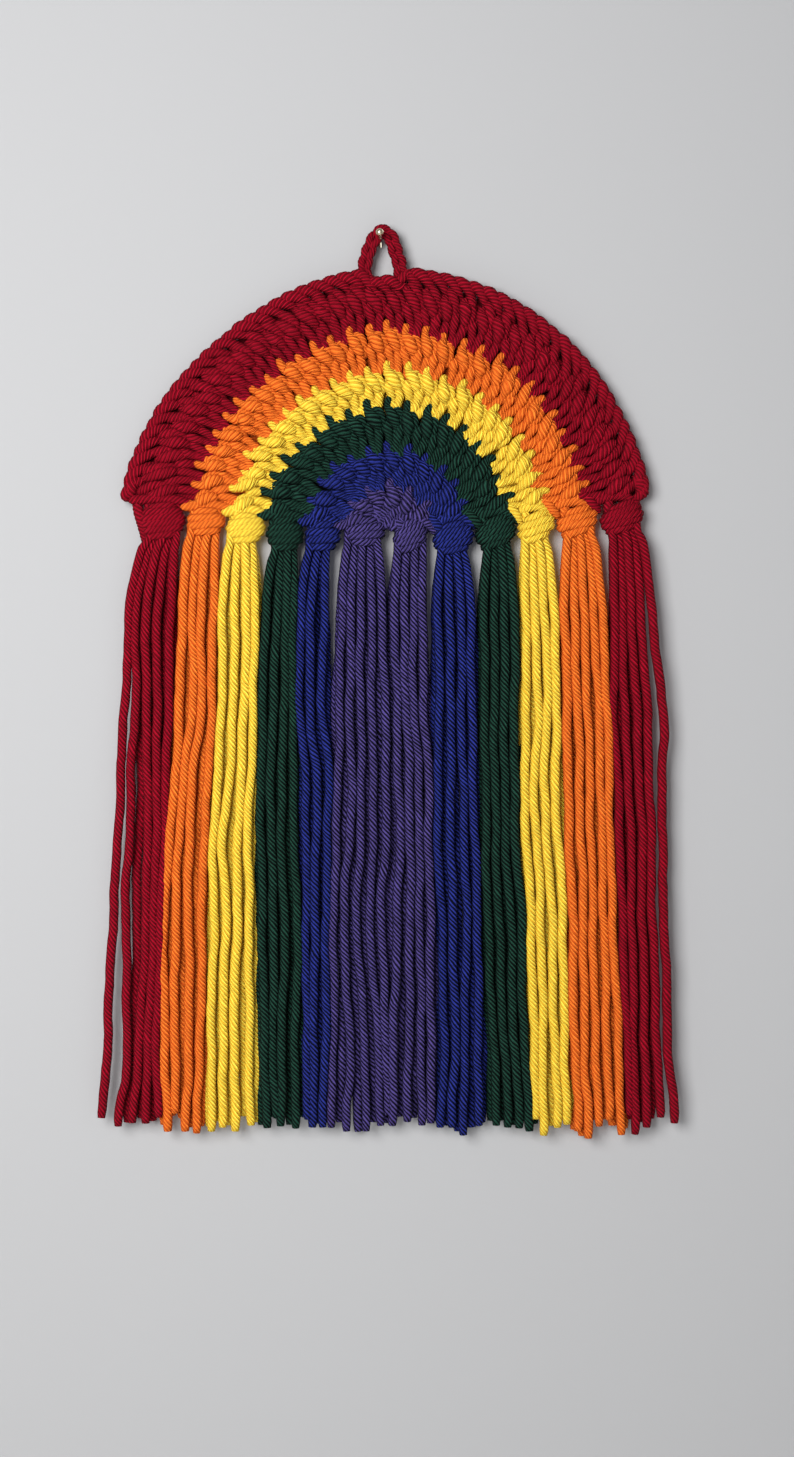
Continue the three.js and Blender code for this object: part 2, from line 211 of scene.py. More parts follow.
class Finish:
    """A material while it is made."""

    def __init__(self, name):
        self.material = bpy.data.materials.new(name)
        self.material.use_nodes = True
        self.tree = self.material.node_tree
        self.tree.nodes.clear()

    def node(self, kind, settings, values, take=0):
        """Adds a node with its settings and its sockets' values or links, and gives one output."""
        made = self.tree.nodes.new(kind)
        for name, setting in settings.items():
            setattr(made, name, setting)
        for name, value in values.items():
            if isinstance(value, Value):
                self.tree.links.new(value.socket, made.inputs[name])
            else:
                made.inputs[name].default_value = value
        return Value(self, made.outputs[take])

    def surface(self, shader):
        """Ends the finish in this shader."""
        end = self.tree.nodes.new("ShaderNodeOutputMaterial")
        self.tree.links.new(shader.socket, end.inputs["Surface"])
        return self.material


def linear(red, green, blue):
    """A colour as it is seen, 0 to 255, made linear for a shader."""
    shares = [c / 255 for c in (red, green, blue)]
    return (*[s / 12.92 if s <= 0.04045 else ((s + 0.055) / 1.055) ** 2.4 for s in shares], 1.0)


LIT_AND_SHADED_DYES = {
    # slot: the lit fibres, and the fibres in the grooves in painted shade
    "red_yarn": (linear(164, 9, 36), linear(88, 2, 14)),
    "orange_yarn": (linear(255, 132, 46), linear(196, 80, 22)),
    "yellow_yarn": (linear(255, 230, 82), linear(222, 170, 42)),
    "green_yarn": (linear(31, 70, 56), linear(1, 6, 5)),
    "blue_yarn": (linear(43, 54, 144), linear(2, 3, 18)),
    "purple_yarn": (linear(87, 74, 143), linear(8, 6, 18)),
}
FIBRES = {"across": 6.7, "ahead": 1.3, "seed": 0.0, "detail": 3.0}  # thin, and drawn out
DRIFT = {"across": 0.8, "ahead": 0.12, "seed": 9.0, "detail": 1.0}  # slow change along the yarn
UNLIKE = 37  # keeps the fibres of one length from those of another
THREADS = {"turn": 12.566, "wander": 5}  # two in a ply, in radians
LOOSENED = 0.5  # of a ply: how far the plies of a plain tube wander round it
SIDE_SHADE = {"factor": 1.6, "less": -0.25}  # the share not painted in shade, by how far the yarn faces out
# How much of the lit colour shows over the painted shade of the grooves: on the plies' tops,
# there more on a brighter length, on the threads, on the fibres, and all over.
LIT = {"plies": 0.9, "brighter": 1.3, "threads": 0.15, "fibres": 1.1, "base": 0.33}
# How bright the yarn is: at least, by its slow change, by its tint, and painted shade where lengths
# touch.
BRIGHT = {"least": 0.82, "drift": 0.06, "tint": 0.06, "touching_shade": 0.88}
# How far it is raised over its threads: by the fibres, by more of them on a plain tube, and by the
# plies there. The relief is in metres.
RAISED = {"fibres": 0.8, "plain": 0.6, "plies": 2.3, "relief": 0.00025}


def yarn_finish(slot):
    """Dyed yarn: fine fibres run along its plies, with painted shade in the grooves and where
    lengths touch.
    """
    lit, groove_shade = LIT_AND_SHADED_DYES[slot]
    f = Finish(slot)
    mark = f.node("ShaderNodeAttribute", {"attribute_name": "yarn"}, {}, take="Vector")
    ply, along, tint = (f.node("ShaderNodeSeparateXYZ", {}, {0: mark}, take=k) for k in range(3))

    def noise(across, ahead, seed, detail):
        place = {0: ply * across, 1: along * ahead, 2: tint * UNLIKE + seed}
        spot = f.node("ShaderNodeCombineXYZ", {}, place)
        return f.node("ShaderNodeTexNoise", {}, {"Vector": spot, "Scale": 1.0, "Detail": detail})

    fibre = noise(**FIBRES)
    drift = noise(**DRIFT)
    thread = ply * THREADS["turn"] + drift * THREADS["wander"]
    stripe = f.node("ShaderNodeMath", {"operation": "SINE"}, {0: thread}) * 0.5 + 0.5
    plain = f.node("ShaderNodeMath", {"operation": "GREATER_THAN"}, {0: tint, 1: PLAIN_TINT})
    # The crest goes from 0 in a groove to 1 on the top of a ply.
    loosened = ply + (drift - 0.5) * plain * LOOSENED
    fold = f.node("ShaderNodeMath", {"operation": "FRACT"}, {0: loosened}) * 2 - 1
    crest = 1 - f.node("ShaderNodeMath", {"operation": "ABSOLUTE"}, {0: fold})
    # Painted shade in the grooves: the colour goes from the groove shade at a crest of 0 to the lit
    # colour.
    light = (crest - 0.5) * (LIT["plies"] + tint * LIT["brighter"]) + stripe * LIT["threads"]
    light = light + (fibre - 0.5) * LIT["fibres"] + LIT["base"]
    facing = f.node("ShaderNodeAttribute", {"attribute_name": "facing"}, {}, take="Fac")
    # How much of the yarn is out of the painted shade at its sides, where lengths touch.
    unshaded_share = f.node(
        "ShaderNodeMath",
        {"operation": "MULTIPLY_ADD", "use_clamp": True},
        {0: facing, 1: SIDE_SHADE["factor"], 2: SIDE_SHADE["less"]},
    )
    # The colour mixes from the painted groove shade to the lit colour, and is painted darker at the
    # sides where lengths touch.
    lit_and_shaded_mix = {0: light * unshaded_share, 6: groove_shade, 7: lit}
    colour = f.node("ShaderNodeMix", {"data_type": "RGBA"}, lit_and_shaded_mix, take=2)
    # Painted shade: darker where lengths touch, and darker on the crocheted yarn by its lower
    # tints.
    value = BRIGHT["least"] + drift * BRIGHT["drift"] + tint * BRIGHT["tint"]
    value = value * (unshaded_share * (1 - BRIGHT["touching_shade"]) + BRIGHT["touching_shade"])
    tone_and_painted_shade = f.node("ShaderNodeHueSaturation", {}, {"Color": colour, "Value": value})
    ridge = crest * (2 - crest) * plain
    raised = stripe + fibre * (plain * RAISED["plain"] + RAISED["fibres"])
    raised = raised + ridge * RAISED["plies"]
    bump = f.node("ShaderNodeBump", {}, {"Height": raised, "Distance": RAISED["relief"]})
    wool = {
        "Base Color": tone_and_painted_shade,
        "Roughness": 0.95 - fibre * 0.2,
        "Specular IOR Level": 0.08,
        "Sheen Weight": 0.03,
        "Sheen Roughness": 0.5,
        "Sheen Tint": lit,
        "Normal": bump,
    }
    return f.surface(f.node("ShaderNodeBsdfPrincipled", {}, wool))


FINISHES = {slot: yarn_finish(slot) for slot in LIT_AND_SHADED_DYES}
STITCH_YARN = 3.0  # thickness
STITCH_STEP = 0.7  # between the rings of the mesh
# One double crochet as its yarn runs. Across is in stitches to the right of the stitch's middle, up
# is a share of the row's height, depth is from the wall, and the last is a share of thickness.
BAND = [
    (-0.40, 1.23, 3.8, 0.5),
    (-0.41, 1.18, 4.6, 0.9),
    (-0.42, 1.12, 5.1, 1.0),
    (-0.42, 1.05, 5.3, 1.02),
    (-0.38, 0.97, 5.5, 1.12),
    (-0.30, 0.88, 5.9, 1.38),
    (-0.17, 0.79, 6.3, 1.56),
    (-0.02, 0.69, 6.2, 1.56),
    (0.11, 0.58, 5.5, 1.34),
    (0.19, 0.48, 4.2, 1.0),
    (0.23, 0.41, 2.8, 0.7),
]
RIGHT_LEG = [
    (0.06, 0.60, 2.4, 0.8),
    (0.13, 0.50, 3.6, 1.0),
    (0.21, 0.39, 4.4, 1.12),
    (0.24, 0.27, 4.5, 1.16),
    (0.22, 0.13, 4.5, 1.1),
    (0.17, 0.00, 4.9, 1.1),
    (0.09, -0.10, 4.8, 1.04),
    (0.00, -0.15, 3.8, 0.8),
]
LEFT_LEG = [
    (-0.22, 0.80, 2.2, 0.85),
    (-0.40, 0.72, 3.4, 1.0),
    (-0.46, 0.62, 4.4, 1.12),
    (-0.42, 0.51, 4.9, 1.2),
    (-0.33, 0.39, 4.6, 1.14),
    (-0.25, 0.26, 4.0, 1.02),
    (-0.19, 0.12, 4.2, 1.0),
    (-0.14, -0.01, 4.7, 1.04),
    (-0.06, -0.11, 4.7, 1.0),
    (0.02, -0.15, 3.8, 0.8),
]
SHOULDER = [
    (-0.30, 0.95, 4.2, 0.7),
    (-0.08, 0.95, 5.0, 0.98),
    (0.13, 0.90, 5.4, 1.05),
    (0.30, 0.79, 5.4, 1.05),
    (0.41, 0.64, 5.0, 0.98),
    (0.43, 0.49, 4.0, 0.85),
    (0.36, 0.37, 2.9, 0.7),
]
TOPMOST = 1.05  # the highest share of the row's height where the edging covers the stitches' tops
# The last posts of a row's two ends, bowed over the tassels' knots. Along is a share of the row's
# height from its inner side, rise is in millimetres over the line on which the row ends.
RIGHT_POSTS = [
    [
        # along, rise, depth, share of thickness
        (0.02, 3.4, 3.8, 0.7),
        (0.08, 2.2, 4.8, 1.05),
        (0.18, 0.2, 5.3, 1.3),
        (0.29, -1.9, 5.1, 1.25),
        (0.38, -3.4, 4.2, 0.95),
    ],
    [
        (0.28, -1.4, 3.2, 0.8),
        (0.38, 0.3, 4.6, 1.1),
        (0.55, 1.2, 5.2, 1.25),
        (0.76, 1.3, 5.3, 1.3),
        (0.94, 0.4, 5.2, 1.25),
        (1.08, -1.0, 5.0, 1.2),
        (1.18, -2.4, 4.6, 1.1),
        (1.25, -3.5, 3.8, 0.7),
    ],
]
LEFT_POSTS = [
    [
        (0.02, 0.2, 3.4, 0.8),
        (0.18, 0.5, 4.6, 1.1),
        (0.40, 0.8, 5.2, 1.25),
        (0.64, 0.6, 5.3, 1.3),
        (0.88, 0.0, 5.4, 1.3),
        (1.08, -0.6, 5.4, 1.3),
        (1.24, -1.2, 5.0, 1.2),
        (1.34, -1.5, 4.2, 0.7),
    ],
]
INCREASE = 6  # stitches by which each row is longer than the one inside it
SHARED_FOOT = 0.2  # of a stitch, from the middle of a foot that two stitches share
LEAST_RADIUS = 2  # of the posts at the fan's middle
# How uneven the work is. The first three are of a whole stitch, in stitches, in row heights and in
# millimetres, and the other two of each place on it, in stitches and in millimetres.
UNEVEN = {"shift": 0.04, "stretch": 0.035, "forward": 0.25, "place": 0.018, "depth": 0.12}
UNEVEN_UP = 0.7  # share of the shift and the places' unevenness that goes up, in row heights
UNEVEN_POSTS = 0.1  # in depth
UNEVEN_THICK = 0.03


def on_fan(angle, radius, depth):
    """A place on the fan. The angle is in degrees, anticlockwise from the right."""
    rise = np.clip((angle - SMALLER["from"]) / (SMALLER["to"] - SMALLER["from"]), 0, 1)
    inside = SMALLER["share"] * rise * rise * (3 - 2 * rise)
    edge = FLATTER["share"] * np.exp(-(((angle - FLATTER["at"]) / FLATTER["spread"]) ** 2))
    for corner in (0, 180):
        edge -= FLARE["share"] * np.exp(-(((angle - corner) / FLARE["spread"]) ** 2))
    reach = radius * (1 - np.interp(radius, FLAT_RADII, (inside, edge)))
    turn = np.radians(angle)
    return FAN_CENTRE[0] + reach * np.cos(turn), -depth, FAN_CENTRE[1] + reach * np.sin(turn)


def foot_places(stitches):
    """Where each stitch is worked, as a share of the row: every so often two share a foot."""
    bases = stitches - INCREASE
    if not bases:
        return [(k + 0.5) / stitches for k in range(stitches)]
    each = bases // INCREASE
    feet = []
    for base in range(bases):
        middle = (base + 0.5) / bases
        if base % each == each // 2:
            feet += [middle - SHARED_FOOT / bases, middle + SHARED_FOOT / bases]
        else:
            feet.append(middle)
    return feet


def stitch(yarn, foot, head, width, inner, outer, topmost):
    """Works one double crochet from its foot to its head, both angles, into the row's yarn."""
    shift = chance.normal(0, UNEVEN["shift"], 2)
    stretch, forward = chance.normal(1, UNEVEN["stretch"]), chance.normal(0, UNEVEN["forward"])
    for path in (BAND, RIGHT_LEG, LEFT_LEG, SHOULDER):
        places = []
        for across, up, depth, share in path:
            wander = chance.normal(0, UNEVEN["place"], 2) + shift
            deeper = chance.normal(forward, UNEVEN["depth"])
            if up > topmost:
                continue
            middle = foot + (head - foot) * np.clip(up, 0, 1)
            angle = middle - (across + wander[0]) * width
            radius = inner + (up * stretch + UNEVEN_UP * wander[1]) * (outer - inner)
            places.append((*on_fan(angle, radius, depth + deeper), share))
        thick = STITCH_YARN * chance.normal(1, UNEVEN_THICK)
        yarn.lay(smooth_line(places, STITCH_STEP), thick, WORKED)


def end_posts(yarn, angle, paths, inner, outer):
    """Bows the last posts of a row over the knot that hangs at the row's end of this angle."""
    for path in paths:
        places = []
        for along, rise, depth, share in path:
            radius = max(inner + along * (outer - inner), LEAST_RADIUS)
            x, y, z = on_fan(angle, radius, depth + chance.normal(0, UNEVEN_POSTS))
            places.append((x, y, z + rise, share))
        thick = STITCH_YARN * chance.normal(1, UNEVEN_THICK)
        yarn.lay(smooth_line(places, STITCH_STEP), thick, WORKED)


for name, slot, stitches, inner, outer in ROWS:
    yarn = Yarn()
    span = 180 - 2 * ROW_END
    width = span / stitches
    topmost = TOPMOST if name == ROWS[-1][0] else np.inf
    for k, foot in enumerate(foot_places(stitches)):
        head = ROW_END + (k + 0.5) * width
        stitch(yarn, ROW_END + foot * span, head, width, inner, outer, topmost)
    end_posts(yarn, ROW_END, RIGHT_POSTS, inner, outer)
    end_posts(yarn, 180 - ROW_END, LEFT_POSTS, inner, outer)
    yarn.piece(slot.replace("yarn", "stitches"), FINISHES[slot], slot, name)

# The corded edging.
# A last round in the red yarn, worked over the red row's tops, so that a slanting cord runs
# along the fan's outer edge. Between the loop's feet it is drawn down, and it ends in two knobs.
CORD_YARN = 3.0
CORD_UNEVEN = {"place": 0.02, "thick": 0.04}
CORD_PAST = 0.4  # degrees by which it may go past the row's end
LUMPS = 25  # of the cord on each side of the loop
INNER_CORD = {"radius": 86.4, "depth": 2.9, "share": 1.25, "places": 19}  # under the cord
INNER_STEP = 1.6
LOOP_FOOT = {"at": 90, "half": 4.4, "ease": 1.2, "drop": 3.0}  # in degrees, and the cord's drop
EDGE_CORD = [
    # across in lumps to the right, radius, depth, share of thickness
    (1.05, 87.6, 2.6, 0.8),
    (0.74, 89.0, 4.1, 1.05),
    (0.38, 91.0, 4.9, 1.3),
    (-0.04, 92.6, 5.2, 1.42),
    (-0.46, 93.3, 4.9, 1.35),
    (-0.84, 93.0, 4.1, 1.1),
    (-1.15, 92.0, 2.9, 0.85),
]
CORD_FOOT = [
    # across in stitches to the right, radius, depth, share of thickness
    (0.44, 81.0, 3.4, 0.8),
    (0.38, 83.0, 4.6, 1.1),
    (0.22, 85.4, 5.1, 1.3),
    (-0.02, 87.6, 4.9, 1.3),
    (-0.26, 89.6, 3.6, 1.0),
]
CORD_END = [
    # degrees from the row's end, radius, depth, share of thickness
    (4.4, 90.2, 3.0, 0.9),
    (3.6, 91.4, 4.4, 1.5),
    (2.2, 92.0, 4.9, 1.8),
    (0.9, 91.9, 4.7, 1.7),
    (0.1, 91.6, 4.2, 1.3),
    (-0.3, 91.4, 3.8, 0.6),
]


def cord_length(yarn, path, angle_of):
    """Lays one short length of the cord through its path."""
    places = []
    uneven_path = path + chance.normal(0, CORD_UNEVEN["place"], (len(path), 4))
    for across, radius, depth, share in uneven_path:
        angle = np.clip(angle_of(across), ROW_END - CORD_PAST, 180 + CORD_PAST - ROW_END)
        near = (LOOP_FOOT["half"] - abs(angle - LOOP_FOOT["at"])) / LOOP_FOOT["ease"]
        x, y, z = on_fan(angle, radius, depth)
        places.append((x, y, z - LOOP_FOOT["drop"] * np.clip(near, 0, 1), share))
    thick = CORD_YARN * chance.normal(1, CORD_UNEVEN["thick"])
    yarn.lay(smooth_line(places, STITCH_STEP), thick, WORKED)


for side, last in (("right", ROW_END), ("left", 180 - ROW_END)):
    yarn = Yarn()
    quarter = last - 90
    hand = -np.sign(quarter)
    feet = ROWS[-1][2] // 2
    for count, path in ((LUMPS, EDGE_CORD), (feet, CORD_FOOT)):
        for k in range(count):
            middle = 90 + (k + 0.5) * quarter / count
            cord_length(yarn, np.array(path), lambda across: middle - across * abs(quarter) / count)
    cord_length(yarn, np.array(CORD_END), lambda beyond: last + hand * beyond)
    under = []
    for angle in np.linspace(90, last, INNER_CORD["places"]):
        place = on_fan(angle, INNER_CORD["radius"], INNER_CORD["depth"])
        under.append((*place, INNER_CORD["share"]))
    yarn.lay(smooth_line(under, INNER_STEP), CORD_YARN, WORKED)
    yarn.piece(side + "_edge_cord", FINISHES["red_yarn"], "red_yarn", "edging_" + side)

# The hanging loop.
# A crochet chain in the red yarn, whose two ends stand on the red row. Each link is a V whose
# arms go through the link before it.
LOOP_PLACES = [
    (-5.8, -12.6),
    (-5.5, -8.0),
    (-4.9, -4.2),
    (-3.6, -0.4),
    (-2.1, 2.8),
    (-0.4, 4.9),
    (1.5, 5.5),
    (3.4, 4.3),
    (4.8, 1.6),
    (5.7, -1.6),
    (6.7, -4.8),
    (7.4, -8.0),
    (7.7, -12.4),
]
LOOP_STEP = 0.5
LOOP_DEPTH = 3.6
LINK = 4.4
LINK_YARN = 2.75
LINK_STEP = 0.6
LINK_ARM = [
    # across, along in links, towards the front, share of thickness
    (0.15, -0.25, -0.6, 0.85),
    (0.55, 0.0, 0.7, 1.0),
    (1.25, 0.4, 1.1, 1.05),
    (1.3, 0.8, 0.7, 1.05),
    (0.6, 1.15, -0.4, 0.95),
    (0.1, 1.3, -1.2, 0.8),
]
loop_line = smooth_line([(x, 0, z, 1) for x, z in LOOP_PLACES], LOOP_STEP)
loop_end = len(loop_line) - 1
loop_length = LOOP_STEP * loop_end
yarn = Yarn()
for k in range(round(loop_length / LINK)):
    for hand in (-1, 1):
        places = []
        for across, ahead, front, share in LINK_ARM:
            at = np.clip((k + ahead) * LINK / loop_length, 0, 1) * loop_end
            here = [np.interp(at, np.arange(loop_end + 1), column) for column in loop_line.T]
            before, after = loop_line[int(max(at - 1, 0))], loop_line[int(min(at + 2, loop_end))]
            way = direction(after[[0, 2]] - before[[0, 2]])
            x, z = here[0] + hand * across * way[1], here[2] - hand * across * way[0]
            places.append((x, -(LOOP_DEPTH + front), z, share))
        yarn.lay(smooth_line(places, LINK_STEP), LINK_YARN, WORKED)
yarn.piece("chain_loop", FINISHES["red_yarn"], "red_yarn", "hanging_loop")

# The tassels.
# Each is a bundle of yarn folded in half, pulled through the end of a row and through its own
# fold, so that the fold lies across the front as a knot. Their ends are cut by hand.
# The yarn as it hangs straight is a plain tube of twelve sides, its plies raised in the finish.
HANGING = {"plies": 6, "turn": 2.9, "surface": (1.0,), "around": 12, "tints": (0.55, 1.0)}
HEIGHTS = [-131.2, -167.2, -188.8, -214.0, -239.2, -289.6, -307.6]  # of the strands' places
TASSELS = [
    # name, slot, knot's sides, knot's top and foot, slope of its wraps, neck's sides, and across at
    # each height and the end of each strand in front
    ("tassel_left_red", "red_yarn", (-86.3, -69.9), (-92.8, -104.9), 0.8, (-83.8, -71.4), [
        (-89.7, -91.5, -93, -93.9, -95.7, -98, -99.4, -313.3),
        (-87.4, -87.7, -89.2, -89.9, -91.2, -90.6, -93.3, -316.2),
        (-83.6, -83.8, -83.2, -83.4, -83.8, -86.5, -88.5, -315.1),
        (-79.6, -80, -79.8, -80.2, -80.9, -83.2, -84.1, -315.1),
        (-75, -76, -76.6, -77.5, -78.4, -80.2, -79.6, -313),
    ]),
    ("tassel_left_orange", "orange_yarn", (-69.4, -55.6), (-94.6, -103.5), 0.6, (-69.0, -57.5), [
        (-70.8, -71.9, -73.3, -75.3, -77.5, -77.3, -76.2, -318),
        (-67.2, -67.2, -70.3, -72.1, -73.2, -73.7, -73.3, -311.5),
        (-64, -64.3, -67, -68.5, -68.7, -68.5, -69.7, -318),
        (-59.7, -60.6, -61.3, -63.3, -63.8, -64.5, -65.8, -318.7),
    ]),
    ("tassel_left_yellow", "yellow_yarn", (-55.1, -41.2), (-96.4, -106.3), 0.6, (-55.0, -44.5), [
        (-56.4, -56.8, -58, -59.8, -59.5, -60.6, -60.2, -318),
        (-52.1, -52.6, -53.9, -56.4, -55.3, -56.4, -56.1, -316.6),
        (-47.8, -48.7, -49.8, -51, -51.2, -52.5, -51.6, -318),
        (-44.9, -45.4, -46.3, -47.4, -46.9, -46.9, -46.5, -315.9),
    ]),
    ("tassel_left_green", "green_yarn", (-40.7, -27.4), (-98.0, -109.2), 0.6, (-38.8, -29.4), [
        (-40.9, -42, -42.6, -42.7, -42.2, -41.3, -40.6, -316.9),
        (-36.6, -38.4, -39, -39.1, -38.1, -38.4, -37.7, -313),
        (-33.4, -34.5, -34.8, -35.7, -34.1, -35.2, -35.4, -316.2),
        (-31, -31.4, -30.7, -31.2, -29.4, -30.5, -30.3, -316.9),
    ]),
    ("tassel_left_blue", "blue_yarn", (-26.9, -14.0), (-99.6, -109.2), 0.6, (-26.6, -17.6), [
        (-28.2, -28.7, -26.9, -26.4, -26.5, -26.2, -25.8, -313.7),
        (-24.6, -25.1, -22.6, -22.9, -23.3, -23.8, -24, -316.6),
        (-19.9, -20.8, -18.3, -18.8, -19.3, -19.5, -20.4, -316.6),
    ]),
    ("tassel_left_purple", "purple_yarn", (-12.4, 2.0), (-98.2, -107.4), 0.8, (-12.9, 0.5), [
        (-13.6, -14.5, -14.8, -15.7, -16.5, -16.6, -17.4, -316.6),
        (-10.3, -10.7, -10.2, -10.7, -13, -10.7, -11.6, -318),
        (-6.9, -6.9, -6.6, -6.9, -8.4, -5.3, -5.1, -318),
        (-3, -2.8, -2.6, -2.2, -3.7, -0.4, 0.1, -315.9),
        (0.8, 1.9, 2.3, 2.1, 0.6, 2.3, 2.6, -312.3),
    ]),
    ("tassel_right_purple", "purple_yarn", (4.9, 17.2), (-99.0, -109.2), 3.0, (5.1, 17.0), [
        (5.3, 6.2, 6.6, 7.3, 6.4, 4.8, 4.6, -315.9),
        (8.7, 9.5, 10.5, 10.9, 10.9, 10.4, 9.8, -314.4),
        (12.3, 12, 14.1, 14.1, 14.3, 14.9, 14.9, -315.9),
        (15.2, 15.9, 17.4, 17.6, 18.1, 18.3, 18.6, -315.1),
    ]),
    ("tassel_right_blue", "blue_yarn", (19.2, 33.9), (-99.6, -110.0), 2.2, (20.6, 31.4), [
        (20.8, 21.5, 20.8, 20.8, 22.1, 23.1, 22.2, -316.6),
        (24.9, 25.7, 25.3, 25.5, 26, 27.1, 26, -316.6),
        (29.3, 29.3, 29.8, 30.3, 31.2, 30.3, 30.2, -319.3),
        (32.7, 33, 33.4, 34.1, 35, 35.4, 35.4, -315.9),
    ]),
    ("tassel_right_green", "green_yarn", (34.5, 49.1), (-97.8, -107.8), 3.2, (37.5, 46.9), [
        (37.4, 37.7, 37.9, 38.3, 38.6, 41, 41.9, -315.9),
        (41.3, 41.1, 41.3, 41.7, 42.6, 44.7, 46, -316.6),
        (44.9, 44.6, 44.9, 45.1, 46.9, 48.2, 50, -316.9),
        (48.3, 48.3, 48.3, 48.7, 50.7, 51.8, 53.7, -318),
    ]),
    ("tassel_right_yellow", "yellow_yarn", (49.7, 63.0), (-96.2, -105.6), 3.6, (50.6, 60.6), [
        (52.3, 52.7, 51.9, 52.7, 54.1, 55.5, 56.3, -313.7),
        (55.5, 57, 55.4, 56.3, 57.7, 58.6, 58.6, -319.5),
        (59, 60.4, 58.8, 60, 61.7, 62.7, 64, -316.6),
        (62.4, 63.5, 62.9, 64, 65.6, 66.3, 67.1, -315.5),
    ]),
    ("tassel_right_orange", "orange_yarn", (63.6, 78.4), (-94.4, -103.5), 3.2, (66.3, 77.0), [
        (66.3, 67.4, 67.4, 68.1, 69.2, 69.9, 71.4, -318),
        (69.8, 71, 71.7, 72.1, 73, 73.5, 74.6, -320.5),
        (73.2, 74.6, 75.3, 75.9, 76.4, 77.5, 78.6, -316.2),
        (76.8, 78.6, 79.3, 79.7, 80.4, 81.6, 82.2, -314.1),
        (79.8, 81.6, 82.2, 82.7, 83.4, 85.8, 86.3, -319.3),
    ]),
    ("tassel_right_red", "red_yarn", (79.3, 94.8), (-92.6, -102.4), 3.0, (82.0, 93.7), [
        (84.3, 84, 85.2, 86.3, 86.9, 89, 90.1, -312.3),
        (87.2, 87.8, 89.2, 90.1, 90.5, 91.2, 91.5, -319.1),
        (90.3, 92.1, 93, 94.1, 94.2, 95.3, 95.5, -316.6),
        (93.7, 95.9, 96.6, 97.3, 97.8, 99.5, 100.4, -313),
        (97.5, 101.6, 101.6, 101.4, 102, 103.6, 105.4, -315.1),
    ]),
]
# The knot's yarn, and where it lies. The wraps lie so far apart and from the knot's top, leave so
# much at both its ends together, stand out so far, and are so much fuller in front.
KNOT_YARN = 3.3
KNOT_STEP = 1.0
KNOT_DEPTH = 5.0
KNOT_HALF_DEPTH = 2.7
WRAPS = {"every": 2.1, "top": 1.2, "ends": 2.5, "out": 0.5, "fuller": 0.1}
DRAWN_IN = {"top": 0.34, "foot": 0.28}  # shares by which the knot narrows to its ends
WRAP_UNEVEN = {"slope": 0.15, "lean": 0.3, "across": 0.1, "depth": 0.08, "rise": 0.1}
WRAP_DIP = {"most": 0.7, "at": 0.3}  # how a wrap's front hangs, and the level where it is straight
WRAP_TURN = np.radians(np.arange(262, -99, -18))
FOLDS = (-0.3, 0.3)  # where the knot's yarn goes up into the row, in its widths from its middle
FOLD = [
    # depth, up from the knot's top, share of thickness
    (3.4, -3.5, 1.1),
    (4.2, -0.5, 1.25),
    (3.6, 2.5, 1.2),
]
CORNER_FOLD = [
    # across, depth, up, share of thickness: the fold that closes the left corner of the red row
    (-87.6, 3.4, -90.5, 0.9),
    (-87.2, 4.4, -93.5, 1.2),
    (-86.2, 5.0, -97.5, 1.3),
    (-85.0, 5.0, -101.5, 1.25),
    (-84.2, 4.6, -106.0, 1.0),
]
# The strands hang in front where the photograph shows them, one behind each gap between two of
# them, and one beside each side. The depths are from the wall, and at the neck. Those behind
# gather towards the middle at the neck, and their cuts are so much higher, more or less.
STRAND_YARN = 3.4
STRAND_STEP = 2.0
STRAND_UNEVEN = {"depth": 0.25, "thick": 0.025}
START = {"up": 5, "in": 1.5}  # from the knot's foot and from the neck's sides
NECK_SHARE = 0.9  # of a strand's thickness, where the knot holds it
NECK = [
    # share of the way across to its first place, out, down from the start, share of thickness
    (0.12, 0, 6, NECK_SHARE),
    (0.5, 0.5, 11, 1),
]
SWAY = {"across": 0.28, "out": 0.15, "waves": (9, 21, 47), "from": 8, "over": 30}
CUT_END = (0.96, 0.78)  # shares of thickness at the last two rings
SPREAD_ON = 0.1  # how much a strand goes on spreading under its last height
FRONT = {"depth": 7.0, "neck": (6.2, 5.0)}
BACK = {"depth": 3.1, "neck": 3.6, "fuller": 1.1, "gather": 0.75, "across": 0.3, "cut": (1.2, 1.2)}
BESIDE = {"out": 1.7, "kept_in": 1.2, "neck_in": 2.2, "across": 0.2, "cut": (1.5, 1.0)}
LOOSE = ((TASSELS[0][0], 0), (TASSELS[-1][0], 3))  # the outer pairs, with no strand behind them
OPEN_SIDES = ((-1, TASSELS[0][0]), (1, TASSELS[-1][0]))  # with no strand beside them


def strand(yarn, start, course, end, depth, neck_depth, fullness=1):
    """Hangs one strand from its start in the knot, along its course, to its cut end."""
    places = [(start[0], -KNOT_DEPTH, start[1], NECK_SHARE)]
    for way, out, down, share in NECK:
        across = start[0] * (1 - way) + course[0] * way
        places.append((across, -neck_depth - out, start[1] - down, share))
    for x, z in zip(course, HEIGHTS):
        places.append((x, -depth - chance.normal(0, STRAND_UNEVEN["depth"]), z, 1))
    places.append((course[-1] + SPREAD_ON * (course[-1] - course[-2]), -depth, end, 1))
    line = smooth_line(places, STRAND_STEP)
    drop = line[0, 2] - line[:, 2]
    free = np.clip((drop - SWAY["from"]) / SWAY["over"], 0, 1)
    for column, reach in ((0, SWAY["across"]), (1, SWAY["out"])):
        for wave in SWAY["waves"]:
            swing = np.sin(2 * np.pi * (drop / wave + chance.random()))
            line[:, column] += free * reach * swing * wave / SWAY["waves"][-1]
    line[-2:, 3] *= CUT_END
    thick = STRAND_YARN * fullness * chance.normal(1, STRAND_UNEVEN["thick"])
    yarn.lay(line, thick, HANGING)


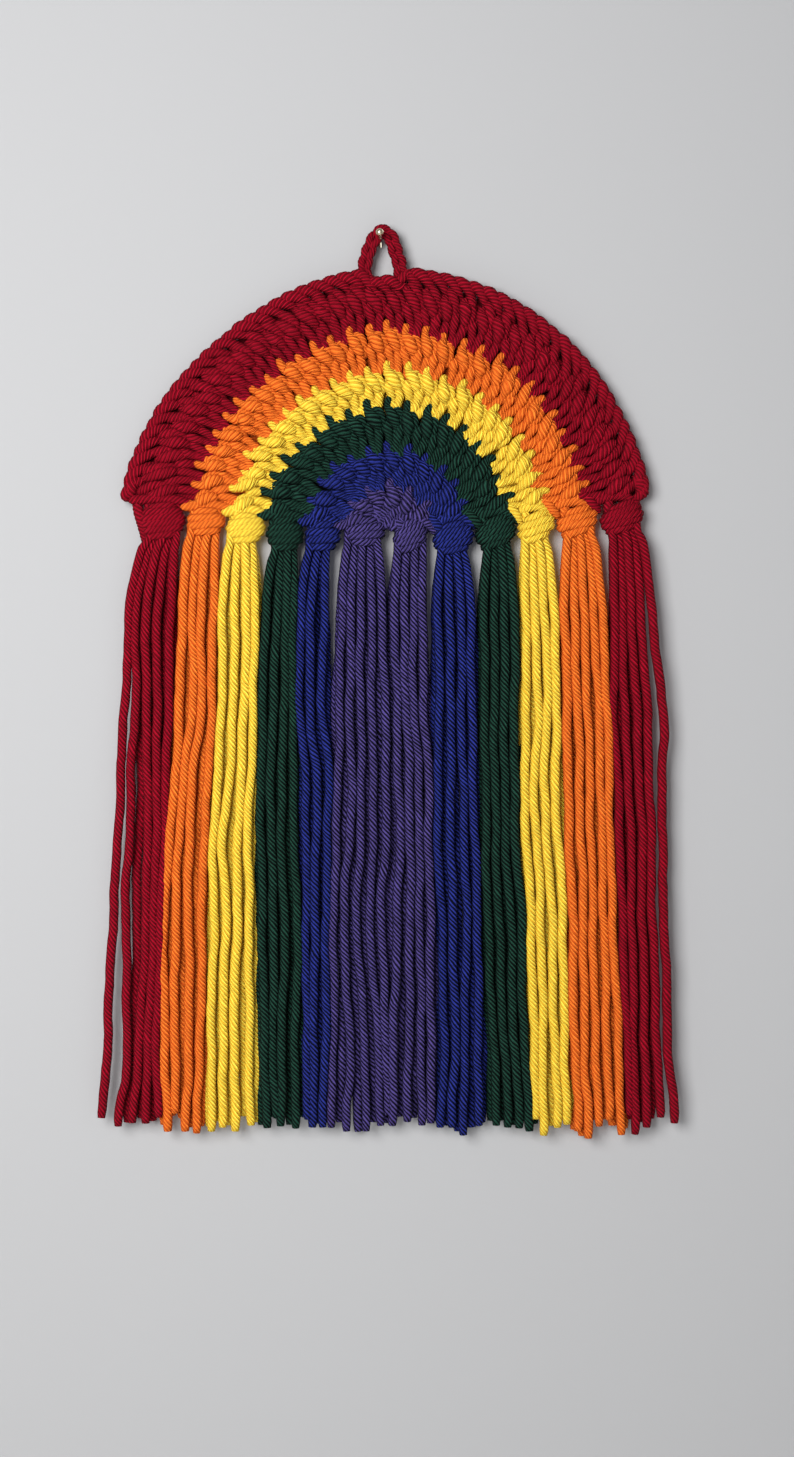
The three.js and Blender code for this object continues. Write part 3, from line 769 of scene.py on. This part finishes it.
def knot(yarn, sides, top, foot, slope):
    """Winds the fold of the strands round the knot, from its top under the row to its foot."""
    middle, half = sum(sides) / 2, (sides[1] - sides[0]) / 2
    wraps = round((top - foot - 2 * WRAPS["top"]) / WRAPS["every"]) + 1
    for k in range(wraps):
        level = k / (wraps - 1)
        over, under = max(0, 1 - 2 * level), max(0, 2 * level - 1)
        bulge = 1 - DRAWN_IN["top"] * over**2 - DRAWN_IN["foot"] * under**2
        reach = half * bulge - KNOT_YARN / 2 + WRAPS["out"]
        lean = slope * chance.normal(1, WRAP_UNEVEN["slope"])
        lean += chance.normal(0, WRAP_UNEVEN["lean"])
        down = foot - top + WRAPS["ends"]
        places = []
        for turn in WRAP_TURN:
            dip = WRAP_DIP["most"] * np.sin(turn) * (level - WRAP_DIP["at"])
            rise = lean * np.cos(turn) / 2 - dip
            x = middle + reach * np.cos(turn) + chance.normal(0, WRAP_UNEVEN["across"])
            y = -KNOT_DEPTH - KNOT_HALF_DEPTH * bulge * np.sin(turn)
            y += chance.normal(0, WRAP_UNEVEN["depth"])
            z = top - WRAPS["top"] + down * level + rise + chance.normal(0, WRAP_UNEVEN["rise"])
            places.append((x, y, z, 1 + WRAPS["fuller"] * np.sin(turn) * np.sin(np.pi * level)))
        yarn.lay(smooth_line(places, KNOT_STEP), KNOT_YARN, WORKED)


for name, slot, sides, (top, foot), slope, neck, front in TASSELS:
    yarn = Yarn()
    knot(yarn, sides, top, foot, slope)
    for share in FOLDS:
        across = (sides[0] + sides[1]) / 2 + share * (sides[1] - sides[0])
        fold = [(across, -depth, top + up, thickness) for depth, up, thickness in FOLD]
        yarn.lay(smooth_line(fold, KNOT_STEP), KNOT_YARN, WORKED)
    if name == TASSELS[0][0]:
        fold = [(x, -depth, z, thickness) for x, depth, z, thickness in CORNER_FOLD]
        yarn.lay(smooth_line(fold, KNOT_STEP), KNOT_YARN, WORKED)
    start_height = foot + START["up"]
    neck_span = (neck[0] + START["in"], neck[1] - START["in"])
    for k, (*course, cut) in enumerate(front):
        across = np.interp(k, (0, len(front) - 1), neck_span)
        strand(yarn, (across, start_height), course, cut, FRONT["depth"], FRONT["neck"][k % 2])
    for k, (left, right) in enumerate(zip(front, front[1:])):
        if (name, k) in LOOSE:
            continue
        pairs = zip(left[:-1], right[:-1])
        course = [(a + b) / 2 + chance.normal(0, BACK["across"]) for a, b in pairs]
        beside_middle = course[0] - (front[0][0] + front[-1][0]) / 2
        across = (neck[0] + neck[1]) / 2 + beside_middle * BACK["gather"]
        cut = (left[-1] + right[-1]) / 2 + chance.normal(*BACK["cut"])
        start = (across, start_height)
        strand(yarn, start, course, cut, BACK["depth"], BACK["neck"], BACK["fuller"])
    for hand, edge in ((-1, front[0]), (1, front[-1])):
        if (hand, name) in OPEN_SIDES:
            continue
        uneven = BESIDE["across"]
        course = [x + hand * BESIDE["out"] + chance.normal(0, uneven) for x in edge[:-1]]
        course[0] -= hand * BESIDE["kept_in"]
        across = neck[(hand + 1) // 2] - hand * BESIDE["neck_in"]
        cut = edge[-1] + chance.normal(*BESIDE["cut"])
        strand(yarn, (across, start_height), course, cut, BACK["depth"], BACK["neck"])
    side, colour = name.split("_")[1:]
    yarn.piece(f"{side}_{colour}_tassel", FINISHES[slot], slot, name)

# The ground of the fan.
# The backs of the stitches lie so close that no wall shows between them. This thin layer of the
# same yarn closes the fan behind its stitches, and is the sheet that the whole fan is. Its colour
# is painted shade, from black to the yarn's groove shade.
GROUND = {"front": 2.1, "back": 1.3, "inner": 4.0, "ends": 7.0, "outer": 90.5}
GROUND_COLUMNS = 109
RINGS_IN_ROW = 5
ROW_OVERLAP = 2.0  # each row's feet reach so far into the row inside it
row_radii = np.array([GROUND["inner"], *[row[3] for row in ROWS[1:]], GROUND["outer"]])
in_rows = [np.linspace(a, b, RINGS_IN_ROW) for a, b in zip(row_radii, row_radii[1:])]
radii = np.unique(np.concatenate(in_rows))
angles = np.linspace(GROUND["ends"], 180 - GROUND["ends"], GROUND_COLUMNS)
ground_points = [
    tuple(c * MM for c in on_fan(angle, radius, GROUND[side]))
    for side in ("front", "back")
    for radius in radii
    for angle in angles
]


def ground_face(order, *corners):
    """A face from its corners' side, ring and column, in this order or turned round."""
    places = [(side * len(radii) + ring) * GROUND_COLUMNS + a for side, ring, a in corners]
    return places[::order]


ground_faces, ground_rows = [], []
last_ring, last_column, last_row = len(radii) - 1, GROUND_COLUMNS - 1, len(ROWS) - 1
for r in range(last_ring):
    between = (radii[r] + radii[r + 1]) / 2
    row = min(int(np.searchsorted(row_radii, between + ROW_OVERLAP) - 1), last_row)
    for a in range(last_column):
        for side, order in ((0, 1), (1, -1)):
            corners = [(side, r, a), (side, r, a + 1), (side, r + 1, a + 1), (side, r + 1, a)]
            ground_faces.append(ground_face(order, *corners))
            ground_rows.append(row)
    for a, order in ((0, 1), (last_column, -1)):
        corners = [(0, r, a), (0, r + 1, a), (1, r + 1, a), (1, r, a)]
        ground_faces.append(ground_face(order, *corners))
        ground_rows.append(row)
for a in range(last_column):
    for r, row, order in ((0, 0, -1), (last_ring, last_row, 1)):
        corners = [(0, r, a), (0, r, a + 1), (1, r, a + 1), (1, r, a)]
        ground_faces.append(ground_face(order, *corners))
        ground_rows.append(row)
ground_mesh = bpy.data.meshes.new("fan_ground")
ground_mesh.from_pydata(ground_points, [], ground_faces)


def ground_finish(slot):
    """The same yarn as it shows in the gaps between the stitches, painted in shade."""
    f = Finish("ground_" + slot)
    place = f.node("ShaderNodeNewGeometry", {}, {}, take="Position")
    grain = {"Vector": place, "Scale": 900.0, "Detail": 3.0}
    speckle = f.node("ShaderNodeTexNoise", {}, grain)
    # Painted shade: speckled from black to the yarn's painted groove shade.
    painted_shades = {0: speckle, 6: (0, 0, 0, 1), 7: LIT_AND_SHADED_DYES[slot][1]}
    colour = f.node("ShaderNodeMix", {"data_type": "RGBA"}, painted_shades, take=2)
    bump = f.node("ShaderNodeBump", {}, {"Height": speckle, "Distance": 0.0006})
    wool = {"Base Color": colour, "Roughness": 0.95, "Specular IOR Level": 0.1, "Normal": bump}
    return f.surface(f.node("ShaderNodeBsdfPrincipled", {}, wool))


ground = place_piece(ground_mesh, ground_finish(ROWS[0][1]), ROWS[-1][1])
for row in ROWS[1:]:
    ground_mesh.materials.append(ground_finish(row[1]))
ground_mesh.polygons.foreach_set("material_index", np.array(ground_rows, np.int32))

# The pin.
# A small brass drawing pin with a domed head, pushed into the wall on a slope. Turned and
# polished, with fine scratches round its head.
PIN_SLOPE = np.radians(17.5)
PIN_RISE = 1.3  # where it enters the wall, over the frame's own point
# The profile is in radius, and distance along the pin from the wall.
PIN_TIP = [(0.02, -12.9), (0.5, -10.5)]
SHANK_TOP = (0.5, 8.1)
HEAD, HEAD_AT = 1.4, 9.5
PIN_SIDES = 40
POLISHED, SCRATCHED = 0.12, 0.3  # roughness
arc = np.radians(np.linspace(160, 1, 14))
pin_head = [(HEAD * np.sin(a), HEAD_AT + HEAD * np.cos(a)) for a in arc]
pin_profile = [*PIN_TIP, SHANK_TOP, *pin_head]
pin_points = []
for radius, along in pin_profile:
    for turn in np.linspace(0, 2 * np.pi, PIN_SIDES, endpoint=False):
        out, over = radius * np.cos(turn), radius * np.sin(turn)
        y = -along * np.cos(PIN_SLOPE) + over * np.sin(PIN_SLOPE)
        z = PIN_RISE + along * np.sin(PIN_SLOPE) + over * np.cos(PIN_SLOPE)
        pin_points.append((out * MM, y * MM, z * MM))
pin_faces = []
for r in range(len(pin_profile) - 1):
    below, above = r * PIN_SIDES, (r + 1) * PIN_SIDES
    for k in range(PIN_SIDES):
        beside = (k + 1) % PIN_SIDES
        pin_faces.append((below + k, below + beside, above + beside, above + k))
top_ring = (len(pin_profile) - 1) * PIN_SIDES
pin_faces.append(tuple(range(PIN_SIDES))[::-1])
pin_faces.append(tuple(range(top_ring, top_ring + PIN_SIDES)))
pin_mesh = bpy.data.meshes.new("brass_pin")
pin_mesh.from_pydata(pin_points, [], pin_faces)
pin_mesh.shade_smooth()
f = Finish("brass")
place = f.node("ShaderNodeNewGeometry", {}, {}, take="Position")
scratch = f.node("ShaderNodeTexNoise", {}, {"Vector": place, "Scale": 2600.0, "Detail": 4.0})
brasses = {0: scratch, 6: linear(168, 148, 108), 7: linear(244, 234, 206)}
brass_colour = f.node("ShaderNodeMix", {"data_type": "RGBA"}, brasses, take=2)
polish = {"Base Color": brass_colour, "Metallic": 1.0, "Roughness": POLISHED + scratch * SCRATCHED}
brass = f.surface(f.node("ShaderNodeBsdfPrincipled", {}, polish))
place_piece(pin_mesh, brass, "brass", "pin")

# The room, in metres.
# A plain pale floor well below the hanging, a pale backdrop that its shadow falls on, which does
# not show from behind, and soft light from the upper left.
FLOOR_Z = -0.6
FLOOR_REACH = 3
BACKDROP = {"y": 0.0005, "half": 0.5, "top": 0.4}
PALE_FLOOR = {"Base Color": linear(226, 225, 223), "Roughness": 0.9}
PALE_BACKDROP = {"Base Color": linear(158, 158, 159), "Roughness": 0.95}
SKY = {"Color": (0.9, 0.93, 1.0, 1), "Strength": 0.2}


def plane(name, corners, finish):
    mesh = bpy.data.meshes.new(name)
    mesh.from_pydata(corners, [], [(0, 1, 2, 3)])
    mesh.materials.append(finish)
    made = bpy.data.objects.new(name, mesh)
    bpy.context.scene.collection.objects.link(made)


f = Finish("pale_floor")
floor_finish = f.surface(f.node("ShaderNodeBsdfPrincipled", {}, PALE_FLOOR))
floor_sides = [(-1, -1), (1, -1), (1, 1), (-1, 1)]
plane("floor", [(x * FLOOR_REACH, y * FLOOR_REACH, FLOOR_Z) for x, y in floor_sides], floor_finish)
f = Finish("pale_backdrop")
pale = f.node("ShaderNodeBsdfPrincipled", {}, PALE_BACKDROP)
clear = f.node("ShaderNodeBsdfTransparent", {}, {})
from_behind = f.node("ShaderNodeNewGeometry", {}, {}, take="Backfacing")
shown = f.node("ShaderNodeMixShader", {}, {0: from_behind, 1: pale, 2: clear})
backdrop_finish = f.surface(shown)
backdrop_sides = [(-1, FLOOR_Z), (1, FLOOR_Z), (1, BACKDROP["top"]), (-1, BACKDROP["top"])]
backdrop_corners = [(x * BACKDROP["half"], BACKDROP["y"], z) for x, z in backdrop_sides]
plane("backdrop", backdrop_corners, backdrop_finish)


def soft_light(name, place, aim, size, power):
    light = bpy.data.lights.new(name, "AREA")
    light.size, light.energy = size, power
    made = bpy.data.objects.new(name, light)
    bpy.context.scene.collection.objects.link(made)
    made.location = place
    made.rotation_euler = (Vector(place) - Vector(aim)).to_track_quat("Z", "Y").to_euler()
    return made


soft_light("key", (-0.36, -0.82, 0.02), aim=(0, 0, -0.13), size=0.5, power=13.5)
soft_light("fill", (0.6, -1.4, 0.1), aim=(0, 0, -0.15), size=1.2, power=3)
# This light falls on the hanging alone, and shows its back when it is seen from behind.
back_light = soft_light("behind", (0.4, 1.0, 0.2), aim=(0, 0, -0.15), size=0.8, power=12)
back_light.light_linking.receiver_collection = hung_pieces
back_light.light_linking.blocker_collection = hung_pieces
world = bpy.data.worlds.new("pale_room")
world.use_nodes = True
for socket, value in SKY.items():
    world.node_tree.nodes["Background"].inputs[socket].default_value = value
bpy.context.scene.world = world
bpy.context.scene.view_settings.view_transform = "Standard"

# The camera, in metres.
# It looks straight at the wall, level, from three quarters of a metre away, and takes in
# the height that the photograph shows.
DISTANCE = 0.75
SEEN_HEIGHT = 0.5245  # of the picture, at the hanging's face
SEEN_AT = 0.005  # from the wall to the hanging's face
SENSOR = 36  # millimetres along the picture's longer side
camera = bpy.data.cameras.new("camera")
camera.lens = SENSOR * (DISTANCE - SEEN_AT) / SEEN_HEIGHT
viewer = bpy.data.objects.new("camera", camera)
bpy.context.scene.collection.objects.link(viewer)
viewer.location = (0.0062, -DISTANCE, -0.1735)
viewer.rotation_euler = (np.pi / 2, 0, 0)
bpy.context.scene.camera = viewer
